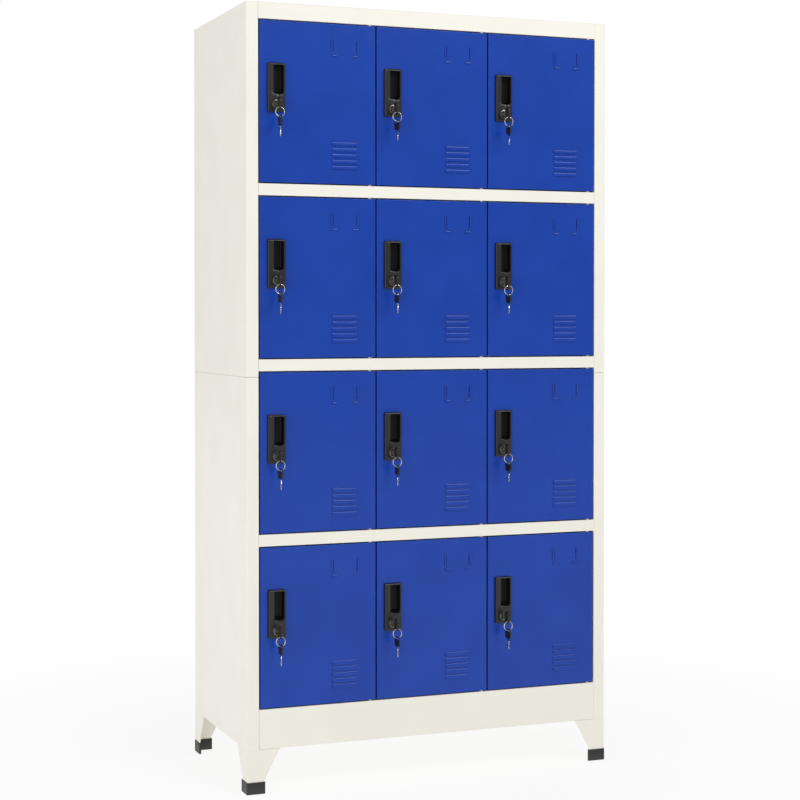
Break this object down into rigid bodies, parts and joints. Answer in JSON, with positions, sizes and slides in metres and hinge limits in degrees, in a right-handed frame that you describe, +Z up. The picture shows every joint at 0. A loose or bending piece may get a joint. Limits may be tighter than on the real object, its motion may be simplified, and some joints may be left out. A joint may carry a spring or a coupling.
{
  "type": "key locker cabinet",
  "caption": "Free-standing sheet-steel locker cabinet with rows of inset louvred doors, recessed pulls, key cam locks and angle legs with boots.",
  "frame": {"origin": "on the floor, at the middle of the footprint of the whole object, keys and boots included", "axes": "+Z up, +X to the right of someone who faces the doors, the doors face -Y"},
  "size_m": [0.903, 0.4968, 1.78],
  "materials": {
    "body_paint": "fine-textured powder coat, warm off-white",
    "door_paint": "fine-textured powder coat, blue",
    "pull_plastic": "moulded black plastic, satin gloss",
    "lock_metal": "nickel-plated zinc, fine turning marks; the key head is black plastic",
    "key_metal": "nickel-plated steel ring and blade; the key head is black plastic",
    "key_plastic": "moulded black plastic key head",
    "boot_plastic": "moulded black plastic",
    "buffer_rubber": "black rubber",
    "zinc": "bright zinc plate"
  },
  "bodies": {
    "frame": {"side_panels_left": "body_paint", "side_panels_right": "body_paint", "top_panel": "body_paint", "base_panel": "body_paint", "shelves": "body_paint", "partitions": "body_paint", "back_panels": "body_paint", "legs": "body_paint", "foot_boots": "boot_plastic", "hinge_pins": "zinc", "door_buffers": "buffer_rubber", "fasteners": "zinc"},
    "door_r1c1": {"door_r1c1": "door_paint", "pull_r1c1": "pull_plastic"},
    "lock_r1c1": {"lock_r1c1": "lock_metal"},
    "key_ring_r1c1": {"key_ring_r1c1": "key_metal"},
    "door_r1c2": {"door_r1c2": "door_paint", "pull_r1c2": "pull_plastic"},
    "lock_r1c2": {"lock_r1c2": "lock_metal"},
    "key_ring_r1c2": {"key_ring_r1c2": "key_metal"},
    "door_r1c3": {"door_r1c3": "door_paint", "pull_r1c3": "pull_plastic"},
    "lock_r1c3": {"lock_r1c3": "lock_metal"},
    "key_ring_r1c3": {"key_ring_r1c3": "key_metal"},
    "door_r2c1": {"door_r2c1": "door_paint", "pull_r2c1": "pull_plastic"},
    "lock_r2c1": {"lock_r2c1": "lock_metal"},
    "key_ring_r2c1": {"key_ring_r2c1": "key_metal"},
    "door_r2c2": {"door_r2c2": "door_paint", "pull_r2c2": "pull_plastic"},
    "lock_r2c2": {"lock_r2c2": "lock_metal"},
    "key_ring_r2c2": {"key_ring_r2c2": "key_metal"},
    "door_r2c3": {"door_r2c3": "door_paint", "pull_r2c3": "pull_plastic"},
    "lock_r2c3": {"lock_r2c3": "lock_metal"},
    "key_ring_r2c3": {"key_ring_r2c3": "key_metal"},
    "door_r3c1": {"door_r3c1": "door_paint", "pull_r3c1": "pull_plastic"},
    "lock_r3c1": {"lock_r3c1": "lock_metal"},
    "key_ring_r3c1": {"key_ring_r3c1": "key_metal"},
    "door_r3c2": {"door_r3c2": "door_paint", "pull_r3c2": "pull_plastic"},
    "lock_r3c2": {"lock_r3c2": "lock_metal"},
    "key_ring_r3c2": {"key_ring_r3c2": "key_metal"},
    "door_r3c3": {"door_r3c3": "door_paint", "pull_r3c3": "pull_plastic"},
    "lock_r3c3": {"lock_r3c3": "lock_metal"},
    "key_ring_r3c3": {"key_ring_r3c3": "key_metal"},
    "door_r4c1": {"door_r4c1": "door_paint", "pull_r4c1": "pull_plastic"},
    "lock_r4c1": {"lock_r4c1": "lock_metal"},
    "key_ring_r4c1": {"key_ring_r4c1": "key_metal"},
    "door_r4c2": {"door_r4c2": "door_paint", "pull_r4c2": "pull_plastic"},
    "lock_r4c2": {"lock_r4c2": "lock_metal"},
    "key_ring_r4c2": {"key_ring_r4c2": "key_metal"},
    "door_r4c3": {"door_r4c3": "door_paint", "pull_r4c3": "pull_plastic"},
    "lock_r4c3": {"lock_r4c3": "lock_metal"},
    "key_ring_r4c3": {"key_ring_r4c3": "key_metal"}
  },
  "joints": [
    {"name": "door_r1c1_swing", "type": "hinge", "parent": "frame", "child": "door_r1c1", "pos_m": [-0.15367, -0.19612, 1.559], "axis": [0, 0, 1], "range_deg": [0, 105]},
    {"name": "lock_r1c1_turn", "type": "hinge", "parent": "door_r1c1", "child": "lock_r1c1", "pos_m": [-0.381, -0.20312, 1.552], "axis": [0, 1, 0], "range_deg": [0, 90]},
    {"name": "key_ring_r1c1_hang", "type": "hinge", "parent": "lock_r1c1", "child": "key_ring_r1c1", "pos_m": [-0.381, -0.23538, 1.54], "axis": [0, 1, 0], "range_deg": [-90, 0]},
    {"name": "door_r1c2_swing", "type": "hinge", "parent": "frame", "child": "door_r1c2", "pos_m": [0.12667, -0.19612, 1.559], "axis": [0, 0, 1], "range_deg": [0, 105]},
    {"name": "lock_r1c2_turn", "type": "hinge", "parent": "door_r1c2", "child": "lock_r1c2", "pos_m": [-0.10067, -0.20312, 1.552], "axis": [0, 1, 0], "range_deg": [0, 90]},
    {"name": "key_ring_r1c2_hang", "type": "hinge", "parent": "lock_r1c2", "child": "key_ring_r1c2", "pos_m": [-0.10067, -0.23538, 1.54], "axis": [0, 1, 0], "range_deg": [-90, 0]},
    {"name": "door_r1c3_swing", "type": "hinge", "parent": "frame", "child": "door_r1c3", "pos_m": [0.407, -0.19612, 1.559], "axis": [0, 0, 1], "range_deg": [0, 105]},
    {"name": "lock_r1c3_turn", "type": "hinge", "parent": "door_r1c3", "child": "lock_r1c3", "pos_m": [0.17967, -0.20312, 1.552], "axis": [0, 1, 0], "range_deg": [0, 90]},
    {"name": "key_ring_r1c3_hang", "type": "hinge", "parent": "lock_r1c3", "child": "key_ring_r1c3", "pos_m": [0.17967, -0.23538, 1.54], "axis": [0, 1, 0], "range_deg": [-90, 0]},
    {"name": "door_r2c1_swing", "type": "hinge", "parent": "frame", "child": "door_r2c1", "pos_m": [-0.15367, -0.19612, 1.164], "axis": [0, 0, 1], "range_deg": [0, 105]},
    {"name": "lock_r2c1_turn", "type": "hinge", "parent": "door_r2c1", "child": "lock_r2c1", "pos_m": [-0.381, -0.20312, 1.157], "axis": [0, 1, 0], "range_deg": [0, 90]},
    {"name": "key_ring_r2c1_hang", "type": "hinge", "parent": "lock_r2c1", "child": "key_ring_r2c1", "pos_m": [-0.381, -0.23538, 1.145], "axis": [0, 1, 0], "range_deg": [-90, 0]},
    {"name": "door_r2c2_swing", "type": "hinge", "parent": "frame", "child": "door_r2c2", "pos_m": [0.12667, -0.19612, 1.164], "axis": [0, 0, 1], "range_deg": [0, 105]},
    {"name": "lock_r2c2_turn", "type": "hinge", "parent": "door_r2c2", "child": "lock_r2c2", "pos_m": [-0.10067, -0.20312, 1.157], "axis": [0, 1, 0], "range_deg": [0, 90]},
    {"name": "key_ring_r2c2_hang", "type": "hinge", "parent": "lock_r2c2", "child": "key_ring_r2c2", "pos_m": [-0.10067, -0.23538, 1.145], "axis": [0, 1, 0], "range_deg": [-90, 0]},
    {"name": "door_r2c3_swing", "type": "hinge", "parent": "frame", "child": "door_r2c3", "pos_m": [0.407, -0.19612, 1.164], "axis": [0, 0, 1], "range_deg": [0, 105]},
    {"name": "lock_r2c3_turn", "type": "hinge", "parent": "door_r2c3", "child": "lock_r2c3", "pos_m": [0.17967, -0.20312, 1.157], "axis": [0, 1, 0], "range_deg": [0, 90]},
    {"name": "key_ring_r2c3_hang", "type": "hinge", "parent": "lock_r2c3", "child": "key_ring_r2c3", "pos_m": [0.17967, -0.23538, 1.145], "axis": [0, 1, 0], "range_deg": [-90, 0]},
    {"name": "door_r3c1_swing", "type": "hinge", "parent": "frame", "child": "door_r3c1", "pos_m": [-0.15367, -0.19612, 0.769], "axis": [0, 0, 1], "range_deg": [0, 105]},
    {"name": "lock_r3c1_turn", "type": "hinge", "parent": "door_r3c1", "child": "lock_r3c1", "pos_m": [-0.381, -0.20312, 0.762], "axis": [0, 1, 0], "range_deg": [0, 90]},
    {"name": "key_ring_r3c1_hang", "type": "hinge", "parent": "lock_r3c1", "child": "key_ring_r3c1", "pos_m": [-0.381, -0.23538, 0.75], "axis": [0, 1, 0], "range_deg": [-90, 0]},
    {"name": "door_r3c2_swing", "type": "hinge", "parent": "frame", "child": "door_r3c2", "pos_m": [0.12667, -0.19612, 0.769], "axis": [0, 0, 1], "range_deg": [0, 105]},
    {"name": "lock_r3c2_turn", "type": "hinge", "parent": "door_r3c2", "child": "lock_r3c2", "pos_m": [-0.10067, -0.20312, 0.762], "axis": [0, 1, 0], "range_deg": [0, 90]},
    {"name": "key_ring_r3c2_hang", "type": "hinge", "parent": "lock_r3c2", "child": "key_ring_r3c2", "pos_m": [-0.10067, -0.23538, 0.75], "axis": [0, 1, 0], "range_deg": [-90, 0]},
    {"name": "door_r3c3_swing", "type": "hinge", "parent": "frame", "child": "door_r3c3", "pos_m": [0.407, -0.19612, 0.769], "axis": [0, 0, 1], "range_deg": [0, 105]},
    {"name": "lock_r3c3_turn", "type": "hinge", "parent": "door_r3c3", "child": "lock_r3c3", "pos_m": [0.17967, -0.20312, 0.762], "axis": [0, 1, 0], "range_deg": [0, 90]},
    {"name": "key_ring_r3c3_hang", "type": "hinge", "parent": "lock_r3c3", "child": "key_ring_r3c3", "pos_m": [0.17967, -0.23538, 0.75], "axis": [0, 1, 0], "range_deg": [-90, 0]},
    {"name": "door_r4c1_swing", "type": "hinge", "parent": "frame", "child": "door_r4c1", "pos_m": [-0.15367, -0.19612, 0.374], "axis": [0, 0, 1], "range_deg": [0, 105]},
    {"name": "lock_r4c1_turn", "type": "hinge", "parent": "door_r4c1", "child": "lock_r4c1", "pos_m": [-0.381, -0.20312, 0.367], "axis": [0, 1, 0], "range_deg": [0, 90]},
    {"name": "key_ring_r4c1_hang", "type": "hinge", "parent": "lock_r4c1", "child": "key_ring_r4c1", "pos_m": [-0.381, -0.23538, 0.355], "axis": [0, 1, 0], "range_deg": [-90, 0]},
    {"name": "door_r4c2_swing", "type": "hinge", "parent": "frame", "child": "door_r4c2", "pos_m": [0.12667, -0.19612, 0.374], "axis": [0, 0, 1], "range_deg": [0, 105]},
    {"name": "lock_r4c2_turn", "type": "hinge", "parent": "door_r4c2", "child": "lock_r4c2", "pos_m": [-0.10067, -0.20312, 0.367], "axis": [0, 1, 0], "range_deg": [0, 90]},
    {"name": "key_ring_r4c2_hang", "type": "hinge", "parent": "lock_r4c2", "child": "key_ring_r4c2", "pos_m": [-0.10067, -0.23538, 0.355], "axis": [0, 1, 0], "range_deg": [-90, 0]},
    {"name": "door_r4c3_swing", "type": "hinge", "parent": "frame", "child": "door_r4c3", "pos_m": [0.407, -0.19612, 0.374], "axis": [0, 0, 1], "range_deg": [0, 105]},
    {"name": "lock_r4c3_turn", "type": "hinge", "parent": "door_r4c3", "child": "lock_r4c3", "pos_m": [0.17967, -0.20312, 0.367], "axis": [0, 1, 0], "range_deg": [0, 90]},
    {"name": "key_ring_r4c3_hang", "type": "hinge", "parent": "lock_r4c3", "child": "key_ring_r4c3", "pos_m": [0.17967, -0.23538, 0.355], "axis": [0, 1, 0], "range_deg": [-90, 0]}
  ],
  "couplings": [
    {"joint": "key_ring_r1c1_hang", "follows": "lock_r1c1_turn", "ratio": -1},
    {"joint": "key_ring_r1c2_hang", "follows": "lock_r1c2_turn", "ratio": -1},
    {"joint": "key_ring_r1c3_hang", "follows": "lock_r1c3_turn", "ratio": -1},
    {"joint": "key_ring_r2c1_hang", "follows": "lock_r2c1_turn", "ratio": -1},
    {"joint": "key_ring_r2c2_hang", "follows": "lock_r2c2_turn", "ratio": -1},
    {"joint": "key_ring_r2c3_hang", "follows": "lock_r2c3_turn", "ratio": -1},
    {"joint": "key_ring_r3c1_hang", "follows": "lock_r3c1_turn", "ratio": -1},
    {"joint": "key_ring_r3c2_hang", "follows": "lock_r3c2_turn", "ratio": -1},
    {"joint": "key_ring_r3c3_hang", "follows": "lock_r3c3_turn", "ratio": -1},
    {"joint": "key_ring_r4c1_hang", "follows": "lock_r4c1_turn", "ratio": -1},
    {"joint": "key_ring_r4c2_hang", "follows": "lock_r4c2_turn", "ratio": -1},
    {"joint": "key_ring_r4c3_hang", "follows": "lock_r4c3_turn", "ratio": -1}
  ]
}
